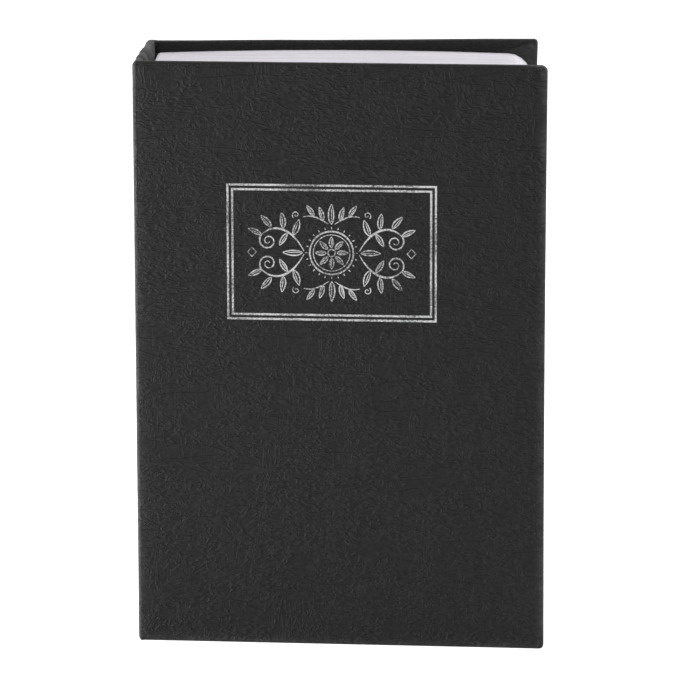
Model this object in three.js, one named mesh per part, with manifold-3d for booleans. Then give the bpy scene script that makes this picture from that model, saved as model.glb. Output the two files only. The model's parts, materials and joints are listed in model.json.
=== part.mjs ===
// Book diversion safe: a steel lock box inside a moulded page block, between leatherette book covers.
// Millimetres. The book stands upright: +Z is up, the spine is at -X and the front cover faces -Y.
// Depth is measured along +Y from the front cover's outer face at the hinge, as if the book were closed.

import * as THREE from "three";
import { mergeVertices } from "three/addons/utils/BufferGeometryUtils.js";
import Module from "manifold-3d";

const wasm = await Module();
wasm.setup();

// Covers and spine
const coverHeight = 224;
const frontCoverWidth = 155;
const backCoverWidth = 150;
const bookThickness = 57;
const coverThickness = 3;
const coverCornerRadius = 1.9;
const coverEdgeRadius = 0.6;
const coveringThickness = 0.4;
const turnInWidth = 15;
const spineLean = 1.7;
const hingeSeam = 0.3;
const boardJoint = 0.8;
const spineTurnIn = 1.2;
const endpaperThickness = 0.25;
const endpaperMargin = 3;
const liningOverlap = 3;
const glueGap = 0.1;

// Gap between metal pieces that are clamped together
const seatGap = 0.05;

// Moulded page block
const headSquare = 4.8;
const foreEdgeSquare = 2.4;
const spineGap = 1;
const pageFront = 4.2;
const pageCrown = 1.1;
const pageForeCornerRadius = 9;
const pageSpineCornerRadius = 1.4;
const shellWall = 1.8;
const rimThickness = 2;
const leafPitch = 2.2;
const leafGrooveDepth = 0.35;
const leafGrooveWidth = 0.9;
const grooveFade = 4;
const leastCornerRadius = 0.3;
const locatingRibThickness = 1.6;
const locatingRibSetback = 6;
const locatingRibsAcross = 3;
const locatingRibsUp = 4;

// Steel box, and the rims of the page block round its mouth
const spineRimWidth = 10.1;
const foreRimWidth = 9.5;
const endRimWidth = 7.2;
const boxSheet = 1;
const boxCornerRadius = 2.5;
const returnFlange = 7;
const boxClearance = 0.5;

// Steel lid
const lidSheet = 1;
const lidRecess = 0.3;
const lidSeatGap = 0.3;
const fieldRaise = 1.2;
const fieldMargin = 8;
const fieldCornerRadius = 6;
const fieldWallShift = 0.4;

// Piano hinge
const pinRadius = 0.7;
const pinClearance = 0.1;
const leafSheet = 0.7;
const leafWidth = 11;
const knuckleCount = 13;
const knuckleGap = 0.3;
const leafRunningGap = 0.3;
const hingeEndGap = 1.5;
const pinHeadRadius = 1.3;
const pinHeadLength = 0.7;

// Rivets
const rivetCount = 3;
const rivetEndMargin = 18;
const rivetRadius = 1.6;
const rivetHeadRadius = 2.8;
const rivetHeadHeight = 0.9;
const rivetTailRadius = 2.4;
const rivetTailHeight = 0.7;
const rivetClearance = 0.1;
const floorRivetInset = 22;

// Cam lock
const lockInset = 23;
const lockHeadRadius = 10;
const lockHeadFaceRadius = 8.7;
const lockHeadHeight = 4.4;
const bezelRadius = 11.2;
const bezelThickness = 1.4;
const barrelRadius = 8;
const barrelFlat = 7;
const barrelLength = 8.8;
const lockClearance = 0.15;
const plugRadius = 5.3;
const plugShoulderRadius = 6;
const plugShoulderLength = 1.2;
const plugRecess = 0.4;
const keywayWidth = 1.6;
const keywayHeight = 7;
const keywayDepth = 9;
const washerRadius = 11.2;
const washerThickness = 0.8;
const nutAcrossFlats = 22;
const nutThickness = 3.4;
const nutSides = 6;
const camSquare = 7;
const camThickness = 1.8;
const camWidth = 11;
const camWallGap = 1.6;
const camTipLength = 5.6;
const camCrankRun = 2.2;
const camFlangeGap = 0.5;
const screwRadius = 1.9;
const screwHeadRadius = 4.4;
const screwHeadTopRadius = 3.5;
const screwHeadHeight = 1.8;
const screwLength = 6;
const screwSlotWidth = 1;
const screwSlotDepth = 0.8;

// Rest pose: the front cover lies on the lock's head, this far off it
const coverRestGap = 0.25;

// Fineness of arcs
const cornerSegments = 5;
const smallCornerSegments = 2;
const edgeSegments = 2;
const crownSegments = 6;
const smallRoundSides = 12;
const largeRoundSides = 28;
const domeSegments = 2;
const headRoundSegments = 3;
const knuckleSides = 14;

// Cuts run this far past the faces that they open, and points closer than the tolerance are one
const cutOverrun = 1;
const mergeTolerance = 1e-4;

// Places that follow from the sizes
const leanAngle = Math.atan2(spineLean, bookThickness);
const coverAxisX = -spineLean;
const pageLeft = coverThickness + spineGap;
const pageRight = backCoverWidth - foreEdgeSquare;
const pageBottom = headSquare;
const pageTop = coverHeight - headSquare;
const pageBack = bookThickness - coverThickness - glueGap;
const boxRight = pageRight - foreRimWidth;
const boxLeft = pageLeft + spineRimWidth;
const boxTop = pageTop - endRimWidth;
const boxBottom = pageBottom + endRimWidth;
const boxWidth = boxRight - boxLeft;
const boxHeight = boxTop - boxBottom;
const lidFront = pageFront + lidRecess;
const lidBack = lidFront + lidSheet;
const flangeFront = lidBack + lidSeatGap;
const flangeBack = flangeFront + boxSheet;
const floorFront = pageBack - boxSheet;
const fieldFront = lidFront - fieldRaise;
const fieldBack = fieldFront + lidSheet;
const knuckleBore = pinRadius + pinClearance;
const knuckleRadius = knuckleBore + leafSheet;
const lidLeafFront = lidBack + seatGap;
const boxLeafLeft = boxLeft + boxSheet + seatGap;
const lidAxisX = boxLeafLeft + knuckleRadius;
const lidAxisY = lidLeafFront + leafSheet - knuckleRadius;
const hingeLength = boxHeight - 2 * (returnFlange + hingeEndGap);
const hingeBottom = (coverHeight - hingeLength) / 2;
const knucklePitch = hingeLength / knuckleCount;
const lidLeft = lidAxisX + knuckleRadius + leafRunningGap;
const rivetLine = (leafWidth + knuckleRadius) / 2;
const lockX = boxRight - lockInset;
const lockZ = coverHeight / 2;
const bezelFront = fieldFront - seatGap - bezelThickness;
const headBack = bezelFront - seatGap;
const headFront = headBack - lockHeadHeight;
const barrelBack = headBack + barrelLength;
const coverInnerFace = coverThickness + glueGap + endpaperThickness;

// Angle of the front cover when its endpaper lies on the near side of the lock head's flat face
const restPointX = lockX - lockHeadFaceRadius - coverAxisX;
const restPointY = headFront - coverRestGap;
const coverRestAngle =
  Math.asin(coverInnerFace / Math.hypot(restPointX, restPointY)) - Math.atan2(restPointY, restPointX);

// Materials
const leatherette = { color: 0x2b2b2c, roughness: 0.62, metalness: 0 };
const greyboard = { color: 0x8d8678, roughness: 0.95, metalness: 0 };
const endpaper = { color: 0x1d1d1e, roughness: 0.85, metalness: 0 };
const pagePlastic = { color: 0xe4e2e8, roughness: 0.5, metalness: 0 };
const blackSteel = { color: 0x17181a, roughness: 0.55, metalness: 0.3 };
const zincedSteel = { color: 0x9a9da1, roughness: 0.4, metalness: 1 };
const chrome = { color: 0xd4d6d9, roughness: 0.15, metalness: 1 };
const brass = { color: 0xb5954a, roughness: 0.3, metalness: 1 };

// A closed geometry as a solid that can be cut and joined
function solidOf(geometry) {
  const bare = geometry.clone();
  bare.deleteAttribute("normal");
  bare.deleteAttribute("uv");
  const merged = mergeVertices(bare, mergeTolerance);
  const corners = [];
  for (let i = 0; i < merged.index.count; i += 3) {
    const [a, b, c] = merged.index.array.slice(i, i + 3);
    if (a !== b && b !== c && c !== a) corners.push(a, b, c);
  }
  return new wasm.Manifold(
    new wasm.Mesh({
      numProp: 3,
      vertProperties: new Float32Array(merged.attributes.position.array),
      triVerts: new Uint32Array(corners),
    }),
  );
}

// A named mesh of a solid, in the finish given
function piece(name, solid, finish) {
  const mesh = solid.getMesh();
  const geometry = new THREE.BufferGeometry();
  geometry.setAttribute("position", new THREE.BufferAttribute(mesh.vertProperties, 3));
  geometry.setIndex(new THREE.BufferAttribute(mesh.triVerts, 1));
  geometry.computeVertexNormals();
  const material = new THREE.MeshStandardMaterial({ ...finish, flatShading: true });
  const object = new THREE.Mesh(geometry, material);
  object.name = name;
  return object;
}

function join(solids) {
  return solids.reduce((whole, solid) => whole.add(solid));
}

// Outlines are drawn in the plane of the covers: across in x, up in z
function rectangle(left, bottom, right, top) {
  const shape = new THREE.Shape();
  shape.moveTo(left, bottom);
  shape.lineTo(right, bottom);
  shape.lineTo(right, top);
  shape.lineTo(left, top);
  shape.closePath();
  return shape;
}

function roundedRectangle(left, bottom, right, top, radius) {
  const quarter = Math.PI / 2;
  const shape = new THREE.Shape();
  shape.absarc(right - radius, bottom + radius, radius, -quarter, 0);
  shape.absarc(right - radius, top - radius, radius, 0, quarter);
  shape.absarc(left + radius, top - radius, radius, quarter, 2 * quarter);
  shape.absarc(left + radius, bottom + radius, radius, 2 * quarter, 3 * quarter);
  shape.closePath();
  return shape;
}

// An outline made solid, from the depth "front" backwards, with its edges rounded by "edge"
function plate(outline, front, thickness, edge = 0) {
  const geometry = new THREE.ExtrudeGeometry(outline, {
    depth: thickness - 2 * edge,
    curveSegments: cornerSegments,
    bevelEnabled: edge > 0,
    bevelThickness: edge,
    bevelSize: edge,
    bevelOffset: -edge,
    bevelSegments: edgeSegments,
  });
  geometry.rotateX(Math.PI / 2);
  geometry.translate(0, front + thickness - edge, 0);
  return solidOf(geometry);
}

// A solid turned about the depth axis; its profile is listed as radius and depth
function turned(profile, sides = largeRoundSides) {
  const points = profile.map(([radius, depth]) => new THREE.Vector2(radius, depth));
  return solidOf(new THREE.LatheGeometry(points, sides));
}

function rod(radius, front, back, sides) {
  return turned([[0, front], [radius, front], [radius, back], [0, back]], sides);
}

function ring(inner, outer, front, back, sides) {
  const profile = [[inner, front], [outer, front], [outer, back], [inner, back], [inner, front]];
  return turned(profile, sides);
}

// A solid through rings of equally many points, capped at both ends by the faces given
function loft(rings, capFaces) {
  const count = rings[0].length;
  const index = [];
  for (let i = 0; i + 1 < rings.length; i += 1) {
    for (let j = 0; j < count; j += 1) {
      const here = i * count + j;
      const beside = i * count + ((j + 1) % count);
      index.push(here, beside, beside + count, here, beside + count, here + count);
    }
  }
  const last = (rings.length - 1) * count;
  for (const [a, b, c] of capFaces) {
    index.push(a, c, b, last + a, last + b, last + c);
  }
  const geometry = new THREE.BufferGeometry();
  geometry.setAttribute("position", new THREE.Float32BufferAttribute(rings.flat(2), 3));
  geometry.setIndex(index);
  return solidOf(geometry);
}

// A slab with sloping sides, between two outlines at two depths
function frustum(frontOutline, front, backOutline, back) {
  const backPoints = backOutline.extractPoints(cornerSegments).shape;
  const frontPoints = frontOutline.extractPoints(cornerSegments).shape;
  const rings = [
    backPoints.map((point) => [point.x, back, point.y]),
    frontPoints.map((point) => [point.x, front, point.y]),
  ];
  return loft(rings, THREE.ShapeUtils.triangulateShape(backPoints, []));
}

// A cover as it stands covered: outer face at depth 0, hinge edge at x = 0
function coveredBoard(width) {
  const outline = roundedRectangle(0, 0, width, coverHeight, coverCornerRadius);
  return plate(outline, 0, coverThickness, coverEdgeRadius);
}

// The space of the board inside its covering, or the board itself with a gap for the glue
function boardInside(left, right, inset) {
  const radius = coverCornerRadius - coveringThickness;
  const outline = roundedRectangle(left + inset, inset, right - inset, coverHeight - inset, radius);
  return plate(outline, inset, coverThickness - 2 * inset);
}

// The opening that the turned-in covering leaves on a board's inner face
function turnInWindow(left, right) {
  const outline = rectangle(left, turnInWidth, right, coverHeight - turnInWidth);
  const cutStart = coverThickness - coveringThickness - glueGap;
  return plate(outline, cutStart, 2 * coveringThickness + glueGap);
}

function makeFrontCover() {
  const wrap = coveredBoard(frontCoverWidth)
    .subtract(boardInside(0, frontCoverWidth, coveringThickness))
    .subtract(turnInWindow(turnInWidth, frontCoverWidth - turnInWidth));
  const paper = roundedRectangle(
    endpaperMargin,
    endpaperMargin,
    frontCoverWidth - endpaperMargin,
    coverHeight - endpaperMargin,
    coverCornerRadius,
  );
  return [
    piece("front_board", boardInside(0, frontCoverWidth, coveringThickness + glueGap), greyboard),
    piece("front_cover_wrap", wrap, leatherette),
    piece("front_endpaper", plate(paper, coverThickness + glueGap, endpaperThickness), endpaper),
  ];
}

// Stands a cover-like solid along the spine, its outer face leaning out towards the front
function alongSpine(solid) {
  const leanDegrees = THREE.MathUtils.radToDeg(leanAngle);
  return solid.rotate([0, 0, -90 - leanDegrees]).translate([0, bookThickness, 0]);
}

function toBackCover(solid) {
  return solid.scale([1, -1, 1]).translate([0, bookThickness, 0]);
}

function makeSpineAndBackCover() {
  const spineWidth = (bookThickness - coverThickness - hingeSeam) / Math.cos(leanAngle);
  const spineBoardEdge = coverThickness + boardJoint;
  const spineInside = (inset) => {
    const solid = boardInside(spineBoardEdge - coveringThickness, spineWidth, inset);
    return alongSpine(solid);
  };
  const backInside = (inset) => toBackCover(boardInside(0, backCoverWidth, inset));
  const backWindow = turnInWindow(turnInWidth, backCoverWidth - turnInWidth);
  const spineWindow = turnInWindow(spineBoardEdge + spineTurnIn, spineWidth - spineTurnIn);
  const wrap = toBackCover(coveredBoard(backCoverWidth))
    .add(alongSpine(coveredBoard(spineWidth)))
    .subtract(backInside(coveringThickness))
    .subtract(spineInside(coveringThickness))
    .subtract(toBackCover(backWindow))
    .subtract(alongSpine(spineWindow));
  const boardInset = coveringThickness + glueGap;
  const liningEnd = turnInWidth - liningOverlap;
  const liningOutline = rectangle(
    spineBoardEdge,
    liningEnd,
    spineWidth - coverEdgeRadius,
    coverHeight - liningEnd,
  );
  const lining = alongSpine(plate(liningOutline, coverThickness + glueGap, endpaperThickness));
  return [
    piece("back_board", backInside(boardInset).subtract(floorRivetHoles()), greyboard),
    piece("spine_board", spineInside(boardInset), greyboard),
    piece("spine_and_back_wrap", wrap, leatherette),
    piece("spine_lining", lining, endpaper),
  ];
}

// Points round the edge of the page block, or as far inside it as "inset", from the spine side
// past the fore edge and back again
function pageEdge(inset) {
  const left = pageLeft + inset;
  const right = pageRight - inset;
  const bottom = pageBottom + inset;
  const top = pageTop - inset;
  const spineRadius = Math.max(pageSpineCornerRadius - inset, leastCornerRadius);
  const foreRadius = Math.max(pageForeCornerRadius - inset, leastCornerRadius);
  const points = [];
  const arc = (x, z, radius, fromDegrees, steps) => {
    for (let i = 0; i <= steps; i += 1) {
      const angle = THREE.MathUtils.degToRad(fromDegrees + (90 * i) / steps);
      points.push(new THREE.Vector2(x + radius * Math.cos(angle), z + radius * Math.sin(angle)));
    }
  };
  const crown = (fromX, toX, edge, rise) => {
    for (let i = 1; i < crownSegments; i += 1) {
      const share = i / crownSegments;
      const height = 4 * rise * share * (1 - share);
      points.push(new THREE.Vector2(fromX + (toX - fromX) * share, edge + height));
    }
  };
  points.push(new THREE.Vector2(left, bottom + spineRadius + grooveFade));
  arc(left + spineRadius, bottom + spineRadius, spineRadius, 180, smallCornerSegments);
  crown(left + spineRadius, right - foreRadius, bottom, -pageCrown);
  arc(right - foreRadius, bottom + foreRadius, foreRadius, 270, cornerSegments);
  arc(right - foreRadius, top - foreRadius, foreRadius, 0, cornerSegments);
  crown(right - foreRadius, left + spineRadius, top, pageCrown);
  arc(left + spineRadius, top - spineRadius, spineRadius, 90, smallCornerSegments);
  points.push(new THREE.Vector2(left, top - spineRadius - grooveFade));
  return points;
}

// The outward direction at each point of the page edge, in which its grooves are cut. At the two
// points on the spine side it has no length, so there the grooves fade out.
function grooveDirections(points) {
  return points.map((point, i) => {
    if (i === 0 || i === points.length - 1) return new THREE.Vector2(0, 0);
    const along = points[i + 1].clone().sub(points[i - 1]).normalize();
    return new THREE.Vector2(along.y, -along.x);
  });
}

// Depths at which the page block's outline changes, with how far it lies in there
function leafSteps() {
  const steps = [[pageFront, 0]];
  const leaves = Math.floor((pageBack - pageFront) / leafPitch);
  const firstGroove = pageFront + (pageBack - pageFront - (leaves - 1) * leafPitch) / 2;
  for (let i = 0; i < leaves; i += 1) {
    const middle = firstGroove + i * leafPitch;
    steps.push([middle - leafGrooveWidth / 2, 0]);
    steps.push([middle, leafGrooveDepth]);
    steps.push([middle + leafGrooveWidth / 2, 0]);
  }
  steps.push([pageBack, 0]);
  return steps;
}

function makePageShell() {
  const edge = pageEdge(0);
  const outwards = grooveDirections(edge);
  const ringAt = ([depth, inset]) =>
    edge.map(({ x, y }, i) => [x - inset * outwards[i].x, depth, y - inset * outwards[i].y]);
  const rings = leafSteps().map(ringAt);
  const block = loft(rings.reverse(), THREE.ShapeUtils.triangulateShape(edge, []));
  const pocketOutline = roundedRectangle(
    boxLeft - boxClearance,
    boxBottom - boxClearance,
    boxRight + boxClearance,
    boxTop + boxClearance,
    boxCornerRadius,
  );
  const hollowFront = pageFront + rimThickness;
  const ribBack = pageBack - locatingRibSetback;
  const ribs = join(
    locatingRibOutlines().map((outline) => plate(outline, pageFront, ribBack - pageFront)),
  );
  const pocket = plate(pocketOutline, 0, bookThickness);
  const hollow = plate(new THREE.Shape(pageEdge(shellWall)), hollowFront, bookThickness);
  const shell = block.subtract(hollow.subtract(ribs)).subtract(pocket);
  return piece("page_shell", shell, pagePlastic);
}

// Slabs across and up the block; the box's pocket cuts them into the ribs that hold the box
function locatingRibOutlines() {
  const half = locatingRibThickness / 2;
  const outlines = [];
  for (let i = 1; i <= locatingRibsAcross; i += 1) {
    const x = boxLeft + (boxWidth * i) / (locatingRibsAcross + 1);
    outlines.push(rectangle(x - half, 0, x + half, coverHeight));
  }
  for (let i = 1; i <= locatingRibsUp; i += 1) {
    const z = boxBottom + (boxHeight * i) / (locatingRibsUp + 1);
    outlines.push(rectangle(0, z - half, backCoverWidth, z + half));
  }
  return outlines;
}

// Centres of the rivets along a hinge leaf
function leafRivetHeights() {
  const first = hingeBottom + rivetEndMargin;
  const span = hingeLength - 2 * rivetEndMargin;
  return Array.from({ length: rivetCount }, (_, i) => first + (span * i) / (rivetCount - 1));
}

// Centres of the rivets that hold the box to the back board
function floorRivetPlaces() {
  const columns = [boxLeft + floorRivetInset, boxRight - floorRivetInset];
  const rows = [boxBottom + floorRivetInset, boxTop - floorRivetInset];
  return rows.flatMap((z) => columns.map((x) => [x, 0, z]));
}

// A rivet along the depth: domed head in front of the depth 0, then its shank and flat tail
function rivet(grip) {
  const domeRadius = (rivetHeadRadius ** 2 + rivetHeadHeight ** 2) / (2 * rivetHeadHeight);
  const domeAngle = Math.asin(rivetHeadRadius / domeRadius);
  const dome = [];
  for (let i = 0; i < domeSegments; i += 1) {
    const angle = (domeAngle * i) / domeSegments;
    const rise = domeRadius * Math.cos(angle) - domeRadius + rivetHeadHeight;
    dome.push([domeRadius * Math.sin(angle), -rise]);
  }
  const tailBack = grip + rivetTailHeight;
  const shankAndTail = [
    [rivetHeadRadius, 0],
    [rivetRadius, 0],
    [rivetRadius, grip],
    [rivetTailRadius, grip],
    [rivetTailRadius, tailBack],
    [0, tailBack],
  ];
  return turned([...dome, ...shankAndTail], smallRoundSides);
}

function rivetHole(front, back) {
  return rod(rivetRadius + rivetClearance, front, back, smallRoundSides);
}

function floorRivetHoles() {
  const seat = bookThickness - coveringThickness - glueGap - rivetTailHeight - rivetClearance;
  const counterbore = rod(rivetTailRadius + rivetClearance, seat, bookThickness, smallRoundSides);
  const hole = rivetHole(0, bookThickness).add(counterbore);
  return join(floorRivetPlaces().map((place) => hole.translate(place)));
}

function makeSteelBox() {
  const outer = roundedRectangle(boxLeft, boxBottom, boxRight, boxTop, boxCornerRadius);
  const inner = roundedRectangle(
    boxLeft + boxSheet,
    boxBottom + boxSheet,
    boxRight - boxSheet,
    boxTop - boxSheet,
    boxCornerRadius - boxSheet,
  );
  const mouth = rectangle(
    boxLeft + boxSheet,
    boxBottom + returnFlange,
    boxRight - returnFlange,
    boxTop - returnFlange,
  );
  const hollow = plate(inner, flangeBack, floorFront - flangeBack).add(
    plate(mouth, flangeFront - cutOverrun, boxSheet + 2 * cutOverrun),
  );
  const floorHole = rivetHole(floorFront - cutOverrun, pageBack + cutOverrun);
  const floorHoles = floorRivetPlaces().map((place) => floorHole.translate(place));
  const wallHole = rivetHole(-boxSheet - cutOverrun, cutOverrun).rotate([0, 0, 90]);
  const wallHoles = leafRivetHeights().map((z) =>
    wallHole.translate([boxLeft, lidAxisY + rivetLine, z]),
  );
  const box = plate(outer, flangeFront, pageBack - flangeFront)
    .subtract(hollow)
    .subtract(join([...floorHoles, ...wallHoles]));
  return piece("steel_box", box, blackSteel);
}

function makeFloorRivets() {
  const boardOuter = bookThickness - coveringThickness - glueGap;
  const grip = boardOuter - rivetTailHeight - floorFront + seatGap;
  return floorRivetPlaces().map(([x, , z], i) => {
    const solid = rivet(grip).translate([x, floorFront - seatGap, z]);
    return piece(`floor_rivet_${i + 1}`, solid, zincedSteel);
  });
}

// A hinge leaf lying along +X from the pin's axis at the origin, with every second knuckle.
// Its back face is level with the back of the knuckles.
function hingeLeaf(firstKnuckle) {
  const back = knuckleRadius;
  const front = knuckleRadius - leafSheet;
  const gripStart = knuckleRadius + leafRunningGap;
  const flap = rectangle(gripStart, hingeBottom, leafWidth, hingeBottom + hingeLength);
  const parts = [plate(flap, front, leafSheet)];
  for (let i = firstKnuckle; i < knuckleCount; i += 2) {
    const bottom = hingeBottom + i * knucklePitch + (i === 0 ? 0 : knuckleGap / 2);
    const lastOne = i === knuckleCount - 1;
    const top = hingeBottom + (i + 1) * knucklePitch - (lastOne ? 0 : knuckleGap / 2);
    const barrel = rod(knuckleRadius, bottom, top, knuckleSides).rotate([90, 0, 0]);
    const tab = plate(rectangle(0, bottom, gripStart + leafSheet, top), front, back - front);
    parts.push(barrel, tab);
  }
  const boreTop = hingeBottom + hingeLength + cutOverrun;
  const bore = rod(knuckleBore, hingeBottom - cutOverrun, boreTop, knuckleSides).rotate([90, 0, 0]);
  const hole = rivetHole(front - cutOverrun, back + cutOverrun);
  const holes = leafRivetHeights().map((z) => hole.translate([rivetLine, 0, z]));
  return join(parts).subtract(bore).subtract(join(holes));
}

function makeBoxHingeLeaf() {
  const leaf = hingeLeaf(0).rotate([0, 0, 90]).translate([lidAxisX, lidAxisY, 0]);
  return piece("box_hinge_leaf", leaf, blackSteel);
}

function makeHingePin() {
  const bottom = hingeBottom - knuckleGap;
  const top = hingeBottom + hingeLength + knuckleGap;
  const profile = [
    [0, bottom - pinHeadLength],
    [pinHeadRadius, bottom - pinHeadLength],
    [pinHeadRadius, bottom],
    [pinRadius, bottom],
    [pinRadius, top],
    [pinHeadRadius, top],
    [pinHeadRadius, top + pinHeadLength],
    [0, top + pinHeadLength],
  ];
  const pin = turned(profile, knuckleSides).rotate([90, 0, 0]);
  return piece("hinge_pin", pin.translate([lidAxisX, lidAxisY, 0]), zincedSteel);
}

function makeBoxLeafRivets() {
  const headFace = boxLeafLeft + leafSheet + seatGap;
  const grip = headFace - boxLeft + seatGap;
  return leafRivetHeights().map((z, i) => {
    const solid = rivet(grip).rotate([0, 0, 90]).translate([headFace, lidAxisY + rivetLine, z]);
    return piece(`box_leaf_rivet_${i + 1}`, solid, zincedSteel);
  });
}

// Outline of the lock's threaded body: a circle with two flats, up and down
function doubleFlat(grow) {
  const radius = barrelRadius + grow;
  const flat = barrelFlat + grow;
  const angle = Math.asin(flat / radius);
  const shape = new THREE.Shape();
  shape.absarc(lockX, lockZ, radius, -angle, angle);
  shape.absarc(lockX, lockZ, radius, Math.PI - angle, Math.PI + angle);
  shape.closePath();
  return shape;
}

function atLock(solid) {
  return solid.translate([lockX, 0, lockZ]);
}

function makeLid() {
  const outline = roundedRectangle(lidLeft, boxBottom, boxRight, boxTop, boxCornerRadius);
  const field = (shrink) =>
    roundedRectangle(
      lidAxisX + leafWidth + shrink,
      boxBottom + fieldMargin + shrink,
      boxRight - fieldMargin - shrink,
      boxTop - fieldMargin - shrink,
      fieldCornerRadius,
    );
  const raised = frustum(field(fieldRaise), fieldFront, field(0), lidFront + lidSheet / 2);
  const hollow = frustum(
    field(fieldRaise + fieldWallShift),
    fieldBack,
    field(fieldWallShift),
    lidBack + seatGap,
  );
  const hole = rivetHole(lidFront - cutOverrun, lidBack + cutOverrun);
  const rivetHoles = leafRivetHeights().map((z) => hole.translate([lidAxisX + rivetLine, 0, z]));
  const lid = plate(outline, lidFront, lidSheet)
    .add(raised)
    .subtract(hollow)
    .subtract(plate(doubleFlat(lockClearance), fieldFront - cutOverrun, lidSheet + 2 * cutOverrun))
    .subtract(join(rivetHoles));
  const leaf = hingeLeaf(1).translate([lidAxisX, lidAxisY, 0]);
  const grip = lidLeafFront + leafSheet - lidFront + 2 * seatGap;
  const rivets = leafRivetHeights().map((z, i) => {
    const place = [lidAxisX + rivetLine, lidFront - seatGap, z];
    return piece(`lid_rivet_${i + 1}`, rivet(grip).translate(place), zincedSteel);
  });
  return [piece("steel_lid", lid, blackSteel), piece("lid_hinge_leaf", leaf, blackSteel), ...rivets];
}

function makeLockBody() {
  const bore = plugRadius + lockClearance;
  const shoulder = plugShoulderRadius + lockClearance;
  const shoulderBack = headFront + plugRecess + plugShoulderLength + lockClearance;
  const rounding = lockHeadRadius - lockHeadFaceRadius;
  const headProfile = [[0, headFront]];
  for (let i = 0; i <= headRoundSegments; i += 1) {
    const angle = (Math.PI / 2) * (i / headRoundSegments);
    const radius = lockHeadFaceRadius + rounding * Math.sin(angle);
    headProfile.push([radius, headFront + rounding * (1 - Math.cos(angle))]);
  }
  headProfile.push([lockHeadRadius, headBack], [0, headBack]);
  const barrel = atLock(turned(headProfile))
    .add(plate(doubleFlat(0), headBack - seatGap, barrelLength + seatGap))
    .subtract(atLock(rod(bore, headFront - cutOverrun, barrelBack + cutOverrun)))
    .subtract(atLock(rod(shoulder, headFront - cutOverrun, shoulderBack)));
  const ringInner = barrelRadius + lockClearance;
  const bezel = turned([
    [ringInner, bezelFront],
    [bezelRadius - bezelThickness / 2, bezelFront],
    [bezelRadius, bezelFront + bezelThickness / 2],
    [bezelRadius, bezelFront + bezelThickness],
    [ringInner, bezelFront + bezelThickness],
    [ringInner, bezelFront],
  ]);
  const washerFront = fieldBack + seatGap;
  const washerBack = washerFront + washerThickness;
  const nutFront = washerBack + seatGap;
  const nutBack = nutFront + nutThickness;
  const nutRadius = nutAcrossFlats / 2 / Math.cos(Math.PI / nutSides);
  const nut = rod(nutRadius, nutFront, nutBack, nutSides)
    .rotate([0, 180 / nutSides, 0])
    .subtract(rod(ringInner, nutFront - cutOverrun, nutBack + cutOverrun));
  const washer = ring(ringInner, washerRadius, washerFront, washerBack);
  return [
    piece("lock_barrel", barrel, chrome),
    piece("lock_bezel", atLock(bezel), chrome),
    piece("lock_washer", atLock(washer), zincedSteel),
    piece("lock_nut", atLock(nut), zincedSteel),
  ];
}

// The turning pieces of the lock stand round the origin, with the cam pointing down
function makeLockPlug() {
  const plugFront = headFront + plugRecess;
  const camFront = barrelBack + seatGap;
  const camBack = camFront + camThickness;
  const half = camSquare / 2;
  const stubBack = camBack - seatGap;
  const keyway = plate(
    rectangle(-keywayWidth / 2, -keywayHeight / 2, keywayWidth / 2, keywayHeight / 2),
    plugFront - cutOverrun,
    keywayDepth + cutOverrun,
  );
  const screwFront = stubBack - screwLength;
  const screwHole = rod(screwRadius + seatGap, screwFront - seatGap, stubBack + cutOverrun, smallRoundSides);
  const plug = turned([
    [0, plugFront],
    [plugShoulderRadius, plugFront],
    [plugShoulderRadius, plugFront + plugShoulderLength],
    [plugRadius, plugFront + plugShoulderLength],
    [plugRadius, barrelBack],
    [0, barrelBack],
  ])
    .add(plate(rectangle(-half, -half, half, half), barrelBack - seatGap, stubBack - barrelBack + seatGap))
    .subtract(keyway)
    .subtract(screwHole);
  return [
    piece("lock_plug", plug, brass),
    piece("lock_cam", makeCam(camFront), zincedSteel),
    piece("cam_screw", makeCamScrew(camBack + seatGap, screwFront), zincedSteel),
  ];
}

// A flat cam cranked forwards, so that its tip comes close behind the box's return flange
function makeCam(camFront) {
  const reach = lockInset - boxSheet - camWallGap;
  const tipFront = flangeBack + camFlangeGap;
  const tipStart = reach - camTipLength;
  const crankStart = tipStart - camCrankRun;
  const halfWidth = camWidth / 2;
  const side = new THREE.Shape();
  side.moveTo(halfWidth, camFront);
  side.lineTo(halfWidth, camFront + camThickness);
  side.lineTo(-crankStart - camThickness / 2, camFront + camThickness);
  side.lineTo(-tipStart - camThickness / 2, tipFront + camThickness);
  side.lineTo(-reach, tipFront + camThickness);
  side.lineTo(-reach, tipFront);
  side.lineTo(-tipStart, tipFront);
  side.lineTo(-crankStart, camFront);
  side.closePath();
  const strip = new THREE.ExtrudeGeometry(side, { depth: camWidth, bevelEnabled: false });
  strip.rotateY(-Math.PI / 2);
  strip.translate(halfWidth, 0, 0);
  const plan = new THREE.Shape();
  plan.absarc(0, 0, halfWidth, 0, Math.PI);
  plan.absarc(0, halfWidth - reach, halfWidth, Math.PI, 2 * Math.PI);
  plan.closePath();
  const hole = camSquare / 2 + 2 * seatGap;
  const cutFront = tipFront - cutOverrun;
  const cutDepth = camFront + camThickness + cutOverrun - cutFront;
  return solidOf(strip)
    .intersect(plate(plan, cutFront, cutDepth))
    .subtract(plate(rectangle(-hole, -hole, hole, hole), cutFront, cutDepth));
}

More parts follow.
